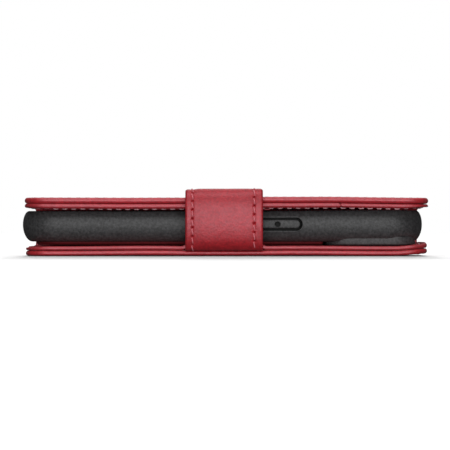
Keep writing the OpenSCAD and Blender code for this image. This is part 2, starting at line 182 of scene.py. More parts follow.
def sheet_solid(name, stations, columns, half, distance, thick, relief, close_start=False, roll=1.0):
    """A closed sheet with half-round edges.

    stations: (s, y, z, ny, nz) for each row, with s the place along the sheet and (ny, nz) facing outward.
    half(s) is half its length along X, distance(x, s) how far in from the edges a point is, thick(s, x) its
    thickness, and relief(s, x, d) how far its outer and inner faces stand out and how far both shift.
    roll is how far in the rounding reaches: 1 for a half circle.
    """
    outer, inner = [], []
    for s, y, z, ny, nz in stations:
        reach = half(s)
        for x in columns(reach):
            d = max(distance(x, s), 0.0)
            t = thick(s, x)
            r = min(t / 2 * roll, LONGEST_ROLL)
            share = 1.0 if d >= r else math.sqrt(max(1 - (1 - d / r) ** 2, 0))
            h = t / 2 * share
            out, inside, shift = relief(s, x, d)
            middle = t / 2 - shift
            a, b = -middle + h + out * share, -middle - h - inside * share
            outer.append((x, y + ny * a, z + nz * a))
            inner.append((x, y + ny * b, z + nz * b))
    rows, cols = len(stations), len(outer) // len(stations)
    faces = grid_faces(rows, cols)
    faces += [f[::-1] for f in grid_faces(rows, cols, rows * cols)]
    ends = [rows - 1] + ([0] if close_start else [])
    for row in ends:
        a, b = row * cols, rows * cols + row * cols
        faces += [(a + j, a + j + 1, b + j + 1, b + j) for j in range(cols - 1)]
    return new_object(name, outer + inner, faces)


def spread_columns(edge, count, full, extra=(), fixed=0.0):
    """Columns across a sheet whose longest half is full: close together by both ends and even between.

    Columns within fixed of the middle are the same in every row; the others close up where a row is shorter.
    """
    room = full - edge[-1]
    even = [room * (2 * i / count - 1) for i in range(1, count)]
    spread = sorted([m for m in even if all(abs(m - e) > LEAST_GAP for e in extra)] + list(extra))

    def columns(reach):
        near = [e * min(1.0, reach / (edge[-1] + 1)) for e in edge]
        squeeze = (reach - near[-1] - fixed) / (room - fixed)
        middle = [m if abs(m) <= fixed else math.copysign(fixed + (abs(m) - fixed) * squeeze, m)
                  for m in spread]
        return [-reach + e for e in near] + middle + [reach - e for e in reversed(near)]
    return columns


# ---- Materials ----

class Nodes:
    """A short way to write a material's nodes."""

    def __init__(self, name):
        self.material = bpy.data.materials.new(name)
        self.material.use_nodes = True
        self.tree = self.material.node_tree
        self.shader = self.tree.nodes["Principled BSDF"]
        self.place = self.add("ShaderNodeTexCoord").outputs["Object"]

    def add(self, kind, inputs=None, **settings):
        node = self.tree.nodes.new(kind)
        for key, value in settings.items():
            setattr(node, key, value)
        self.feed(node, inputs or {})
        return node

    def feed(self, node, inputs):
        """Links or sets a node's inputs, each by its name or number."""
        for key, value in inputs.items():
            if isinstance(value, bpy.types.NodeSocket):
                self.tree.links.new(value, node.inputs[key])
            else:
                node.inputs[key].default_value = value

    def shade(self, **inputs):
        """Feeds the shader, whose inputs are written with _ for each space."""
        self.feed(self.shader, {key.replace("_", " "): value for key, value in inputs.items()})

    def noise(self, per_mm, detail=3.0, roughness=0.55, stretch=None):
        place = self.place
        if stretch:
            place = self.add("ShaderNodeMapping", {"Scale": stretch, "Vector": place}).outputs["Vector"]
        return self.add("ShaderNodeTexNoise", {"Scale": per_mm / MM, "Detail": detail, "Roughness": roughness,
                                               "Vector": place}).outputs["Fac"]

    def cells(self, per_mm):
        return self.add("ShaderNodeTexVoronoi", {"Scale": per_mm / MM, "Vector": self.place},
                        feature="SMOOTH_F1").outputs["Distance"]

    def ramp(self, source, *stops):
        """Goes from one colour to another between two (position, colour) stops."""
        node = self.add("ShaderNodeValToRGB", {"Fac": source})
        for element, (position, colour) in zip(node.color_ramp.elements, stops):
            element.position = position
            element.color = (*colour, 1)
        return node.outputs["Color"]

    def span(self, source, low, high):
        node = self.add("ShaderNodeMapRange", {"Value": source, "To Min": low, "To Max": high})
        return node.outputs["Result"]

    def mix(self, factor, a, b, mode="MIX"):
        node = self.add("ShaderNodeMix", {0: factor, 6: a, 7: b}, data_type="RGBA", blend_type=mode)
        return node.outputs[2]

    def bump(self, *layers):
        """Chains bumps: (height, strength, depth in millimetres)."""
        normal = {}
        for height, strength, depth in layers:
            node = self.add("ShaderNodeBump", {"Height": height, "Strength": strength, "Distance": depth * MM,
                                               **normal})
            normal = {"Normal": node.outputs["Normal"]}
        self.feed(self.shader, normal)

    def painted_crease_shade(self, reach, full):
        """Painted shade: from 0 deep in a crease, where shade falls, to 1 in the open. reach is in
        millimetres, full how open counts as open.
        """
        node = self.add("ShaderNodeAmbientOcclusion", {"Distance": reach * MM}, samples=6)
        return self.ramp(node.outputs["AO"], (0.12, (0, 0, 0)), (full, (1, 1, 1)))


def scaled(colour, by):
    return tuple(min(c * by, 1) for c in colour)


def leather(name, dark, light, grain, rough, ior, depth=0.05):
    """Leather with a cellular grain, mottled colour and a tinted gloss, with painted shade that darkens it
    and dulls its gloss in its creases.
    """
    n = Nodes(name)
    fine = n.noise(1.15, detail=5, roughness=0.68)
    base = n.ramp(n.noise(0.09, detail=4), (0.3, dark), (0.7, light))
    speck = n.ramp(fine, (0.36, (0.58, 0.58, 0.58)), (0.62, (1.06, 1.06, 1.06)))
    painted_crease_shade = n.painted_crease_shade(0.9, 0.6)
    # Painted shade: the colour goes near black and the gloss fades deep in creases and grooves.
    n.shade(Base_Color=n.mix(painted_crease_shade, (*scaled(dark, 0.12), 1), n.mix(0.8, base, speck, "MULTIPLY")),
            Roughness=n.span(n.noise(0.5), rough - 0.05, rough + 0.07), IOR=ior,
            Specular_IOR_Level=n.span(painted_crease_shade, 0.02, 0.8), Specular_Tint=(1.0, 0.55, 0.62, 1),
            Sheen_Weight=0.04, Sheen_Roughness=0.5, Sheen_Tint=(1.0, 0.6, 0.6, 1))
    n.bump((n.noise(0.16, detail=2), 0.5, 0.25), (n.cells(grain), 0.8, depth), (fine, 0.7, depth))
    return n.material


def moulded(name, colour, rough):
    """Moulded plastic with a fine spark-eroded grain, and painted shade in its crevices."""
    n = Nodes(name)
    fine = n.noise(1.15, detail=6, roughness=0.75)
    grained = n.ramp(fine, (0.38, scaled(colour, 0.8)), (0.64, scaled(colour, 2.6)))
    # Painted shade: the colour darkens deep in crevices, grooves and openings.
    n.shade(Base_Color=n.mix(n.painted_crease_shade(1.2, 0.6), (*scaled(colour, 0.2), 1), grained),
            Roughness=n.span(n.noise(0.4), rough - 0.05, rough + 0.07), Specular_IOR_Level=0.5)
    n.bump((fine, 0.6, 0.08), (n.noise(0.12, detail=1), 0.3, 0.12))
    return n.material


def thread(name, colour):
    """Twisted sewing thread."""
    n = Nodes(name)
    strands = n.noise(3.2, detail=2, stretch=(1, 0.6, 0.6))
    n.shade(Base_Color=n.ramp(strands, (0.35, colour), (0.65, scaled(colour, 1.35))),
            Roughness=0.55, Sheen_Weight=0.3)
    n.bump((strands, 0.6, 0.05))
    return n.material


def metal(name, colour, rough):
    """Metal brushed along X."""
    n = Nodes(name)
    brushed = n.noise(1.5, detail=4, stretch=(0.1, 1, 1))
    n.shade(Base_Color=n.ramp(brushed, (0.3, scaled(colour, 0.85)), (0.7, colour)),
            Roughness=n.span(brushed, rough - 0.05, rough + 0.1), Metallic=1.0)
    n.bump((brushed, 0.2, 0.01))
    return n.material


def plain_board(name, colour):
    """Stiffener board with a little fibre in it."""
    n = Nodes(name)
    fibre = n.noise(1.2, detail=5, stretch=(1, 0.3, 1))
    n.shade(Base_Color=n.ramp(fibre, (0.3, scaled(colour, 0.8)), (0.7, colour)), Roughness=0.85)
    n.bump((fibre, 0.3, 0.04))
    return n.material


MATERIALS = {name: make(name, *look) for name, make, *look in (
    ("outer_leather", leather, (0.505, 0.0135, 0.0215), (0.59, 0.019, 0.029), 1.7, 0.42, 1.88),
    ("lining_leather", leather, (0.45, 0.011, 0.018), (0.53, 0.016, 0.025), 2.4, 0.48, 2.0, 0.06),
    # Painted shade: a darker, less glossy copy of the outer leather for the strap, whose face catches more
    # light.
    ("strap_leather", leather, (0.44, 0.012, 0.019), (0.52, 0.017, 0.026), 1.7, 0.42, 1.66),
    # Painted shade: a darker, duller copy of the outer leather for the shell's leather, which sits in shade
    # under the shell.
    ("shell_skin", leather, (0.085, 0.001, 0.003), (0.11, 0.002, 0.004), 1.7, 0.7, 1.35),
    ("moulded_shell", moulded, (0.028, 0.028, 0.029), 0.5),
    # Painted shade: near black, for the grooves round the buttons and the inside of the power key's dimple.
    ("dimple", moulded, (0.003, 0.003, 0.003), 0.8),
    ("thread", thread, (0.72, 0.36, 0.39)),
    ("strap_thread", thread, (0.66, 0.16, 0.195)),
    ("magnet", metal, (0.62, 0.63, 0.65), 0.25),
    ("steel_plate", metal, (0.5, 0.51, 0.53), 0.35),
    ("board", plain_board, (0.42, 0.41, 0.39)),
)}


def finish_piece(piece, slot, *replaced):
    """Gives a piece the material named by a slot, and hides the CAD nodes that it stands for."""
    piece.data.materials.clear()
    piece.data.materials.append(MATERIALS[slot])
    if replaced:
        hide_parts(*replaced)


def paint(piece, look, chosen):
    """Gives another material to the faces whose middle, in millimetres, is chosen."""
    piece.data.materials.append(MATERIALS[look])
    for face in piece.data.polygons:
        if chosen(face.center / MM):
            face.material_index = 1


# ---- Covers and spine ----

SKIN_THICK, BACK_SKIN_THICK = 2.1, 1.8  # of each cover's outer leather
LINING_THICK, BACK_LINING_THICK = 1.52, 1.46
SKIN_FOLD_THICK, LINING_FOLD_THICK = 1.0, 0.7
LINING_FACE, BACK_LINING_FACE = 2.15, 1.84  # from a cover's outer face in to its lining's outer side
LINING_FOLD_R = FOLD_R - 1.05
LINING_SEAM_HALF = SEAM_HALF - 0.3
ROW_SPACING = 2.2
KEPT_COLUMNS = 50.0  # columns this near the middle run straight round the fold
STITCH_INSET = 2.6
RAIL_INSET = 2.0  # of the stitches on the front lining's rail
PITCH = 3.07  # from one stitch to the next
EDGE_OUTER = roll_offsets(0.9) + [1.35, 1.8, 2.2, 2.6, 3.0, 3.4, 4.2]
EDGE_LINING = roll_offsets(0.72) + [1.1, 1.5, 2.0, 2.5, 2.9, 3.2, 3.45, 3.7, 4.4]
SLIT_X = float(box("card_pocket_1")[1][0])  # the first card pocket's mouth shows as a cut in the roll


def cover_path(face_z, up, fold_radius, rows):
    """Rows over a cover, round its fold and along the spine to its middle.

    up is 1 for the front cover, whose outer face looks up, and -1 for the back cover.
    """
    stations = [(y, y, face_z, 0.0, up) for y in rows]
    centre_z = face_z - up * fold_radius
    turns = 10
    for i in range(1, turns + 1):
        a = math.pi / 2 * i / turns
        y, z = FOLD_Y + fold_radius * math.sin(a), centre_z + up * fold_radius * math.cos(a)
        stations.append((FOLD_Y + fold_radius * a, y, z, math.sin(a), up * math.cos(a)))
    run = abs(centre_z - SPINE_MID)
    start = FOLD_Y + fold_radius * math.pi / 2
    for share in (0.15, 0.3, 0.5, 0.7, 0.85, 0.97, 1.0):
        stations.append((start + run * share, FOLD_Y + fold_radius, centre_z - up * run * share, 1.0, 0.0))
    return stations


def cover_rows(edge_y, edge):
    start = edge_y + edge[-1]
    count = int((FOLD_Y - start) / ROW_SPACING)
    return [edge_y + e for e in edge] + [start + (FOLD_Y - start) * i / count for i in range(1, count + 1)]


def wave(x, y, size, phase):
    """Slow waviness that keeps a leather panel from looking machined."""
    return size * (
        0.55 * math.sin(x * 0.061 + phase) * math.cos(y * 0.045 + phase * 1.7)
        + 0.30 * math.sin(x * 0.13 - y * 0.05 + phase * 2.3)
        + 0.15 * math.sin(x * 0.31 + y * 0.11 + phase * 0.6)
    )


def stitch_dip(d, inset=STITCH_INSET, depth=0.16, width=0.45):
    """How far the pull of the thread draws the leather in, near a stitch row."""
    return -depth * hump(d, inset, width)


def flat_share(s):
    """1 on a cover's flat, 0 from its fold on."""
    return fade(s, FOLD_Y - 4, FOLD_Y)


def no_detail(s, x, d):
    return 0.0, 0.0


def cover_skin(name, node, up, face_z, thick_mm, fold_mm, fold_radius, seam_half, edges, shift, extra=(),
               detail=no_detail):
    """A leather layer over one cover, round its fold and down the spine to its middle.

    shift(x, s) is how far the whole layer stands out, and detail(s, x, d) how far each of its faces does.
    """
    low, high = box(node)
    edge_y, half = low[1], high[0]
    stations = cover_path(face_z, up, fold_radius, cover_rows(edge_y, edges))

    def half_at(s):
        reach = flap_half(s, edge_y, half, CORNER)
        return reach + (seam_half - half) * ease(s, FOLD_Y - 1.0, FOLD_Y + fold_radius * 1.6)

    def distance(x, s):
        return flap_distance(x, s, edge_y, half, CORNER) if s < FOLD_Y - 2 else half_at(s) - abs(x)

    def thick(s, x):
        return thick_mm + (fold_mm - thick_mm) * ease(s, FOLD_Y - 1.5, FOLD_Y + fold_radius * 0.9)

    def relief(s, x, d):
        return (*detail(s, x, d), shift(x, s) * fade(s, FOLD_Y - 12, FOLD_Y))

    columns = spread_columns(edges, 62, half, extra, KEPT_COLUMNS)
    return sheet_solid(name, stations, columns, half_at, distance, thick, relief)


def front_shift(x, s):
    """The front cover stands a little proud, most of all where it was bent open, right of the strap."""
    return wave(x, s, 0.06, 0.4) + 0.28 * ease(x, 6, 13) * fade(x, 30, 66) + 0.2


def back_shift(x, s):
    """The back cover sags at its ends and under the strap, and its +X end curls up. Outward is down."""
    curl = 0.85 * ease(x, 57, 70)
    sag = 0.2 * ease(abs(x), 26, 54) + 0.1 * fade(abs(x + 0.5), 12, 22)
    ripple = 0.06 + wave(x, s, 0.04, 2.1)
    return sag - curl - ripple


def lining_lift(x, s):
    """The back lining's +X end bows up away from the outer leather, but not by the free edge."""
    return 0.6 * ease(x, 61, 66) * ease(s, -34, -18)


def lining_wave(x, s):
    return wave(x, s, 0.05, 3.0)


def skin_detail(s, x, d):
    return stitch_dip(d) * flat_share(s), 0.0


front_skin = cover_skin("front_cover_leather", "front_leather", 1, TOP_Z, SKIN_THICK, SKIN_FOLD_THICK,
                        FOLD_R, SEAM_HALF, EDGE_OUTER, front_shift, detail=skin_detail)
finish_piece(front_skin, "outer_leather", "front_leather", "front_fold_leather")

back_skin = cover_skin("back_cover_leather", "back_leather", -1, 0.0, BACK_SKIN_THICK, SKIN_FOLD_THICK,
                       FOLD_R, SEAM_HALF, EDGE_OUTER, back_shift, detail=skin_detail)
finish_piece(back_skin, "outer_leather", "back_leather", "back_fold_leather", "spine_leather")


# The linings: a rolled edge of their own, round the inside of each cover and down to the middle of the spine.

def lining_ends(x):
    """The front lining's underside rises beyond the pockets, towards its ends."""
    return -0.25 * ease(-x, 60, 68.5) - 0.5 * ease(x, 59.5, 68.5)


def front_lining_detail(s, x, d):
    """The rail round the pockets, the cut at the first pocket's mouth, and the pull of the stitches."""
    recess = -0.62 * ease(d, 3.3, 3.75) * fade(s, FOLD_Y - 3, FOLD_Y)
    near_edge = fade(d, 3.0, 3.6) * fade(s, FOLD_Y - 6, FOLD_Y - 3)
    slant = 0.35 * min(d / 0.7, 1.0)
    slit_out, slit_in = (-0.75 * hump(x, SLIT_X - side * slant, 0.2) * near_edge for side in (1, -1))
    wrapped = 0.1 * fade(x, SLIT_X - 0.05, SLIT_X + 0.05) * near_edge
    inside = (stitch_dip(d, RAIL_INSET, 0.14, 0.4) + lining_ends(x)) * flat_share(s)
    return slit_out + wrapped, recess + slit_in + wrapped + inside


def strap_lift(x):
    """How far the strap's root lifts the back lining's edge."""
    left, right = strap_low[0], strap_high[0]
    return 0.5 * ease(x, left - 1.5, left - 0.3) * fade(x, right + 0.3, right + 1.6)


def back_lining_detail(s, x, d):
    """The pull of the stitches, the lift over the strap's root and the -X end's droop."""
    lift = strap_lift(x) * fade(d, 0.35, 1.15)
    droop = -0.42 * ease(-x, 59, 69) * fade(d, 0.75, 1.2)
    return -lift, lift + (stitch_dip(d, depth=0.34) + droop) * flat_share(s)


# Columns close together by the slit and beside the strap.
BY_SLIT = (-0.9, -0.5, -0.3, -0.2, -0.1, 0, 0.1, 0.2, 0.3, 0.5, 0.9)
BY_STRAP = (-2.2, -1.8, -1.5, -1.2, -0.9, -0.6, -0.3, 0)

front_lining_skin = cover_skin(
    "front_lining_leather", "front_lining", 1, TOP_Z - LINING_FACE, LINING_THICK, LINING_FOLD_THICK,
    LINING_FOLD_R, LINING_SEAM_HALF, EDGE_LINING, lambda x, s: front_shift(x, s) + lining_wave(x, s),
    [SLIT_X + o for o in BY_SLIT], front_lining_detail)
finish_piece(front_lining_skin, "lining_leather", "front_lining", "front_fold_lining")
back_lining_skin = cover_skin(
    "back_lining_leather", "back_lining", -1, BACK_LINING_FACE, BACK_LINING_THICK, LINING_FOLD_THICK,
    LINING_FOLD_R, LINING_SEAM_HALF, EDGE_LINING, lambda x, s: back_shift(x, s) - lining_lift(x, s),
    [strap_low[0] + o for o in BY_STRAP] + [strap_high[0] - o for o in BY_STRAP], back_lining_detail)
finish_piece(back_lining_skin, "lining_leather", "back_lining", "back_fold_lining", "spine_lining")


# ---- Card pockets ----

POCKET_EDGE = 4.0  # rows and columns are close together this far in
POCKET_SPACING = 3.0
MOUTH = (4.4, 4.2, 4.0)  # the turned mouth ends this far in, in a soft step
MOUTH_TURN = 0.12
POCKET_STITCH = 2.0


def pocket(node, slot):
    """A flat panel with soft edges. A card pocket has a turned, thicker mouth at its +X end."""
    low, high = box(node)
    half, middle = (high[0] - low[0]) / 2, (high[0] + low[0]) / 2
    has_mouth = node != "cash_pocket"
    edge = roll_offsets(0.2, 4) + [0.6, 1.1, 1.5, 1.9, 2.6, POCKET_EDGE]
    run = high[1] - low[1] - 2 * POCKET_EDGE
    count = int(run / POCKET_SPACING)
    rows = [low[1] + e for e in edge]
    rows += [low[1] + POCKET_EDGE + run * i / count for i in range(1, count + 1)]
    rows += [high[1] - e for e in reversed(edge[:-1])]
    stations = [(y, y, high[2], 0.0, 1.0) for y in rows]

    def distance(x, y):
        return min(half - abs(x), y - low[1], high[1] - y)

    def thick(y, x):
        return high[2] - low[2] - 0.05 + MOUTH_TURN * has_mouth * ease(x, half - MOUTH[0], half - MOUTH[2])

    def relief(y, x, d):
        line = has_mouth * stitch_dip(half - x, POCKET_STITCH, 0.07, 0.3)
        return 0.0, line + wave(x, y, 0.03, middle), 0.0

    columns = spread_columns(edge, 40, half, [half - m for m in MOUTH])
    piece = sheet_solid(node + "_panel", stations, columns, lambda y: half, distance, thick, relief, True)
    piece.data.transform(Matrix.Translation((middle * MM, 0, 0)))
    finish_piece(piece, slot, node)
    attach(piece, "front_cover")


pocket("cash_pocket", "lining_leather")
for pocket_node in ("card_pocket_1", "card_pocket_2", "card_pocket_3"):
    pocket(pocket_node, "outer_leather")


# ---- Strap ----

STRAP_MID = (strap_low[0] + strap_high[0]) / 2
STRAP_HALF = (strap_high[0] - strap_low[0]) / 2
STRAP_REACH = STRAP_HALF + 0.2  # the leather's edge, with the thickness of its turn
BEND_Y = tip_low[1]  # both bends are centred on this line
ROOT_Z = box("strap_lower_fold")[0][2]  # lowest line of the strap's outer face
CROWN_Z = box("strap_upper_fold")[1][2]  # highest line of the strap's outer face
BULGE = BEND_Y - strap_low[1]  # how far the side stands out
SQUARENESS = 2.45  # of the side's curve: 2 is an ellipse
STRAP_ROOT_Y = box("strap_root_tab")[1][1]
TIP_END_Y = tip_high[1]
TIP_SLOPE = math.radians(2.0)
TIP_CORNER = 8.0
TIP_INSET = 2.5  # of the stitch row across the tip
STRAP_ROWS = (STRAP_HALF - 2.25, STRAP_HALF - 2.75)  # stitch rows left and right of the middle
ROOT_THICK, STRAP_THICK = 0.42, 1.45
ROOT_SPACING, SIDE_SPACING = 0.95, 0.22  # of the rows of points along the strap
FIRST_HOLES = (0.05, 1.45)  # from the lower bend to the first needle hole, left and right
EDGE_TIP = roll_offsets(0.95, 6) + [1.3, 1.6, 1.8, 2.0, 2.2, 2.4, 2.6, 2.8, 3.0, 3.2, 3.5, 4.0, 4.8, 5.8, 6.8]


def strap_side(steps=44):
    """Points (y, z) up the strap's padded side, from the lower bend to the upper."""
    middle, half = (ROOT_Z + CROWN_Z) / 2, (CROWN_Z - ROOT_Z) / 2
    coarse = []
    for i in range(steps + 1):
        a = math.pi * i / steps - math.pi / 2
        c, t = math.cos(a), math.sin(a)
        coarse.append((BEND_Y - BULGE * abs(c) ** (2 / SQUARENESS),
                       middle + half * math.copysign(abs(t) ** (2 / SQUARENESS), t)))
    dense = []
    for (y0, z0), (y1, z1) in zip(coarse, coarse[1:]):
        parts = max(1, int(math.hypot(y1 - y0, z1 - z0) / SIDE_SPACING))
        dense += [(y0 + (y1 - y0) * k / parts, z0 + (z1 - z0) * k / parts) for k in range(parts)]
    return dense + coarse[-1:]


def strap_path():
    """Rows (y, z, ny, nz) along the strap's outer face, from its root round the padded side to the tip."""
    stations = []
    y = STRAP_ROOT_Y
    while y > BEND_Y + 0.01:
        stations.append((y, ROOT_Z, 0.0, -1.0))
        y -= ROOT_SPACING
    side = strap_side()
    slope = (math.sin(TIP_SLOPE), math.cos(TIP_SLOPE))
    stations.append((*side[0], 0.0, -1.0))
    for before, (y, z), after in zip(side, side[1:], side[2:]):
        dy, dz = after[0] - before[0], after[1] - before[1]
        length = math.hypot(dy, dz)
        stations.append((y, z, -dz / length, dy / length))
    stations.append((*side[-1], *slope))
    reach = TIP_END_Y - BEND_Y
    ends = [reach - e for e in reversed(EDGE_TIP)]
    for along in [k / 60 * ends[0] for k in range(1, 60)] + ends:
        stations.append((BEND_Y + along, CROWN_Z - along * math.tan(TIP_SLOPE), *slope))
    return stations


strap_stations = strap_path()
strap_s = [0.0]
for here, following in zip(strap_stations, strap_stations[1:]):
    strap_s.append(strap_s[-1] + math.hypot(following[0] - here[0], following[1] - here[1]))
STRAP_LENGTH = strap_s[-1]
strap_rows_all = [(s, *row) for s, row in zip(strap_s, strap_stations)]
ROOT_S = next(row[0] for row in strap_rows_all if row[1] <= BEND_Y + 0.01)
CROWN_S = next(row[0] for row in strap_rows_all if row[0] > ROOT_S + 5 and row[1] >= BEND_Y - 0.01)
seam_row = min(range(len(strap_s)), key=lambda i: abs(strap_s[i] - (ROOT_S + CROWN_S) / 2))
strap_holes = [[ROOT_S + offset + PITCH * i for i in range(60)] for offset in FIRST_HOLES]


def strap_half(s):
    return flap_half(STRAP_LENGTH - s, 0.0, STRAP_REACH, TIP_CORNER)


def strap_distance(x, s):
    return flap_distance(x, STRAP_LENGTH - s, 0.0, STRAP_REACH, TIP_CORNER)


def strap_thick(s, x):
    return ROOT_THICK + (STRAP_THICK - ROOT_THICK) * ease(s, ROOT_S - 1.5, ROOT_S + 2.5)


def strap_relief(s, x, d):
    """Padding between the stitch rows, a channel under the thread and a hole at the end of each stitch."""
    grown = ease(s, ROOT_S + 0.5, ROOT_S + 5)
    crown = ease(s, CROWN_S - 5, CROWN_S - 1)
    right = int(x >= 0)
    row = STRAP_ROWS[right]
    along = (s - strap_holes[right][0] + PITCH / 2) % PITCH - PITCH / 2
    inset = STRAP_REACH - row
    pad = 0.3 * (1 - crown) * ease(d, inset + 0.1, inset + 4.5) + 0.14 * crown
    left_low = -0.24 * crown * fade(x, -row, -row + 2.6)
    dip = stitch_dip(d, inset, 0.22 - 0.1 * crown, 0.5)
    hole = -0.6 * hump(abs(x), row, 0.26) * hump(along, 0, 0.27) if s < STRAP_LENGTH - TIP_CORNER else 0.0
    wrinkle = 0.04 * math.sin(x * 1.9 + s * 1.1) * ease(x, 5, 11) * hump(s, ROOT_S + 8, 4)
    soft = wave(x * 2.4, s * 2.4, 0.06, 1.3)
    return grown * (pad + dip + hole + wrinkle + soft + left_low), grown * pad * 0.5, 0.0


def strap_piece(name, rows, *replaced):
    columns = spread_columns(EDGE_TIP, 16, STRAP_REACH)
    piece = sheet_solid(name, rows, columns, strap_half, strap_distance, strap_thick, strap_relief, True, 1.3)
    piece.data.transform(Matrix.Translation((STRAP_MID * MM, 0, 0)))
    finish_piece(piece, "outer_leather", *replaced)
    # Painted shade: the strap gets the darker copy of the outer leather.
    piece.data.materials[0] = MATERIALS["strap_leather"]
    return piece


strap_lower_piece = strap_piece(
    "strap_lower_part", strap_rows_all[:seam_row + 1],
    "strap_root_tab", "strap_lower_fold", "strap_side_leather", "strap_side_lining", "strap_side_filler")
strap_upper_piece = strap_piece(
    "strap_upper_part", strap_rows_all[seam_row:],
    "strap_upper_fold", "strap_tip_leather", "strap_tip_lining", "strap_tip_filler")
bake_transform(strap_lower_piece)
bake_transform(strap_upper_piece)


# ---- Stitches ----

COVER_SLANT, STRAP_SLANT = 9, -13  # degrees between a stitch and its row
STITCH_RINGS, STITCH_SIDES = 9, 8


def stitch_mesh(places, length, radius, sink, proud):
    """Points and faces of plump twisted stitches with sunk ends. places: (middle, along, up) for each."""
    points, faces = [], []
    rings, sides = STITCH_RINGS, STITCH_SIDES
    for middle, along, up in places:
        middle, along, up = (np.array(v, float) for v in (middle, along, up))
        across = np.cross(up, along)
        long_half = length / 2 * (1 + rng.uniform(-0.06, 0.06))
        base = len(points)
        for i in range(rings):
            t = 2 * i / (rings - 1) - 1
            lift = proud - (sink + proud) * abs(t) ** 3
            r = radius * (1 - 0.35 * abs(t) ** 4)
            centre = middle + along * (long_half * t) + up * lift
            for k in range(sides):
                a = 2 * math.pi * k / sides + 1.6 * t
                ply = 1 + 0.13 * math.cos(2 * (a - 2.4 * t))
                points.append(centre + (across * math.cos(a) + up * math.sin(a)) * r * ply)
        for i in range(rings - 1):
            for k in range(sides):
                a, b = base + i * sides + k, base + i * sides + (k + 1) % sides
                faces.append((a, b, b + sides, a + sides))
        faces.append(tuple(base + k for k in reversed(range(sides))))
        faces.append(tuple(base + (rings - 1) * sides + k for k in range(sides)))
    return points, faces


def stitches(name, places, body, replaced=(), length=2.25, radius=0.21, sink=0.22, proud=0.02):
    piece = new_object(name, *stitch_mesh(places, length, radius, sink, proud), sharp=60)
    finish_piece(piece, "thread", *replaced)
    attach(piece, body)
    return piece


def u_point(s, half, corner, side):
    """Place and direction, in degrees, at s along a U: down its left side, across and up its right side."""
    arc, run = math.pi * corner / 2, 2 * (half - corner)
    if s < side:
        return -half, corner + side - s, -90.0
    s -= side
    if s < arc:
        t = s / corner
        return corner - half - corner * math.cos(t), corner - corner * math.sin(t), math.degrees(t) - 90
    s -= arc
    if s < run:
        return corner - half + s, 0.0, 0.0
    s -= run
    if s < arc:
        t = s / corner
        return half - corner + corner * math.sin(t), corner - corner * math.cos(t), math.degrees(t)
    return half, corner + s - arc, 90.0


def flap_route(y0, half, inset, y_end):
    """Points and directions a pitch apart, along a row that follows a cover's three free edges."""
    h, y, c = half - inset, y0 + inset, CORNER - inset
    side = y_end - y - c
    total = 2 * side + math.pi * c + 2 * (h - c)
    count = int(total / PITCH)
    first = (total - (count - 1) * PITCH) / 2
    route = [u_point(first + i * PITCH, h, c, side) for i in range(count)]
    return [(x, y + up, angle) for x, up, angle in route]


def cover_stitches(name, node, inset, z_at, up, body, replaced=(), **sizes):
    """A row round a cover, at height z_at(x, y), with every stitch turned a little off the row's line."""
    low, high = box(node)
    places = []
    for x, y, angle in flap_route(low[1], high[0], inset, FOLD_Y - 2.0):
        a = math.radians(angle + COVER_SLANT + rng.uniform(-3, 3))
        places.append(((x, y, z_at(x, y)), (math.cos(a), math.sin(a), 0), (0, 0, up)))
    return stitches(name, places, body, replaced, **sizes)


RAIL_Z = TOP_Z - LINING_FACE - LINING_THICK
BACK_TOP_Z = BACK_LINING_FACE + BACK_LINING_THICK


def front_inner_z(x, y):
    sunk = 0.22 * ease(abs(x), 60.5, 61.5)
    return RAIL_Z + front_shift(x, y) + lining_wave(x, y) - lining_ends(x) + sunk


def back_inner_z(x, y):
    return BACK_TOP_Z - back_shift(x, y) + lining_lift(x, y) - 0.36


cover_stitches("front_outer_stitches", "front_leather", STITCH_INSET,
               lambda x, y: TOP_Z + front_shift(x, y) - 0.13, 1, "front_cover", ("front_stitching",))
cover_stitches("front_inner_stitches", "front_lining", RAIL_INSET, front_inner_z, -1, "front_cover",
               length=2.35, radius=0.25, sink=0.3, proud=0.22)
cover_stitches("back_outer_stitches", "back_leather", STITCH_INSET,
               lambda x, y: -back_shift(x, y) + 0.2, -1, "back_cover", ("back_stitching",), proud=-0.02)
cover_stitches("back_inner_stitches", "back_lining", STITCH_INSET, back_inner_z, 1, "back_cover")


def strap_surface(s, x):
    """Place, outward normal and direction along the strap, on its outer face."""
    i = max(k for k in range(len(strap_s)) if strap_s[k] <= s + 1e-9)
    i = min(i, len(strap_s) - 2)
    share = (s - strap_s[i]) / (strap_s[i + 1] - strap_s[i])
    a, b = np.array(strap_stations[i]), np.array(strap_stations[i + 1])
    y, z, ny, nz = a + (b - a) * share
    out, _, _ = strap_relief(s, x, strap_distance(x, s))
    normal = np.array((0, ny, nz)) / math.hypot(ny, nz)
    along = np.array((0, b[0] - a[0], b[1] - a[1]))
    along /= np.linalg.norm(along)
    return np.array((x + STRAP_MID, y, z)) + normal * out, normal, along


def strap_stitch_rows():
    """Places for the rows up the strap's side, and round its tip."""
    side, tip = [], []
    across = np.array((1.0, 0, 0))
    for sign, row, holes in zip((-1, 1), STRAP_ROWS, strap_holes):
        for hole in holes:
            s = hole + PITCH / 2
            if s > STRAP_LENGTH - TIP_CORNER:
                break
            middle, normal, along = strap_surface(s, sign * row)
            a = math.radians(STRAP_SLANT + rng.uniform(-4, 4))
            direction = along * math.cos(a) + across * math.sin(a)
            (side if s < CROWN_S - 2.0 else tip).append((middle, direction, normal))
    radius = TIP_CORNER - TIP_INSET
    half = sum(STRAP_ROWS) / 2
    total = math.pi * radius + 2 * (half - radius)
    count = int(total / PITCH)
    for i in range(1, count + 1):
        x, up, angle = u_point(total * i / (count + 1), half, radius, 0)
        middle, normal, along = strap_surface(STRAP_LENGTH - TIP_INSET - up, x + STRAP_ROWS[1] - half)
        a = math.radians(-angle)
        tip.append((middle, across * math.cos(a) + along * math.sin(a), normal))
    return side, tip


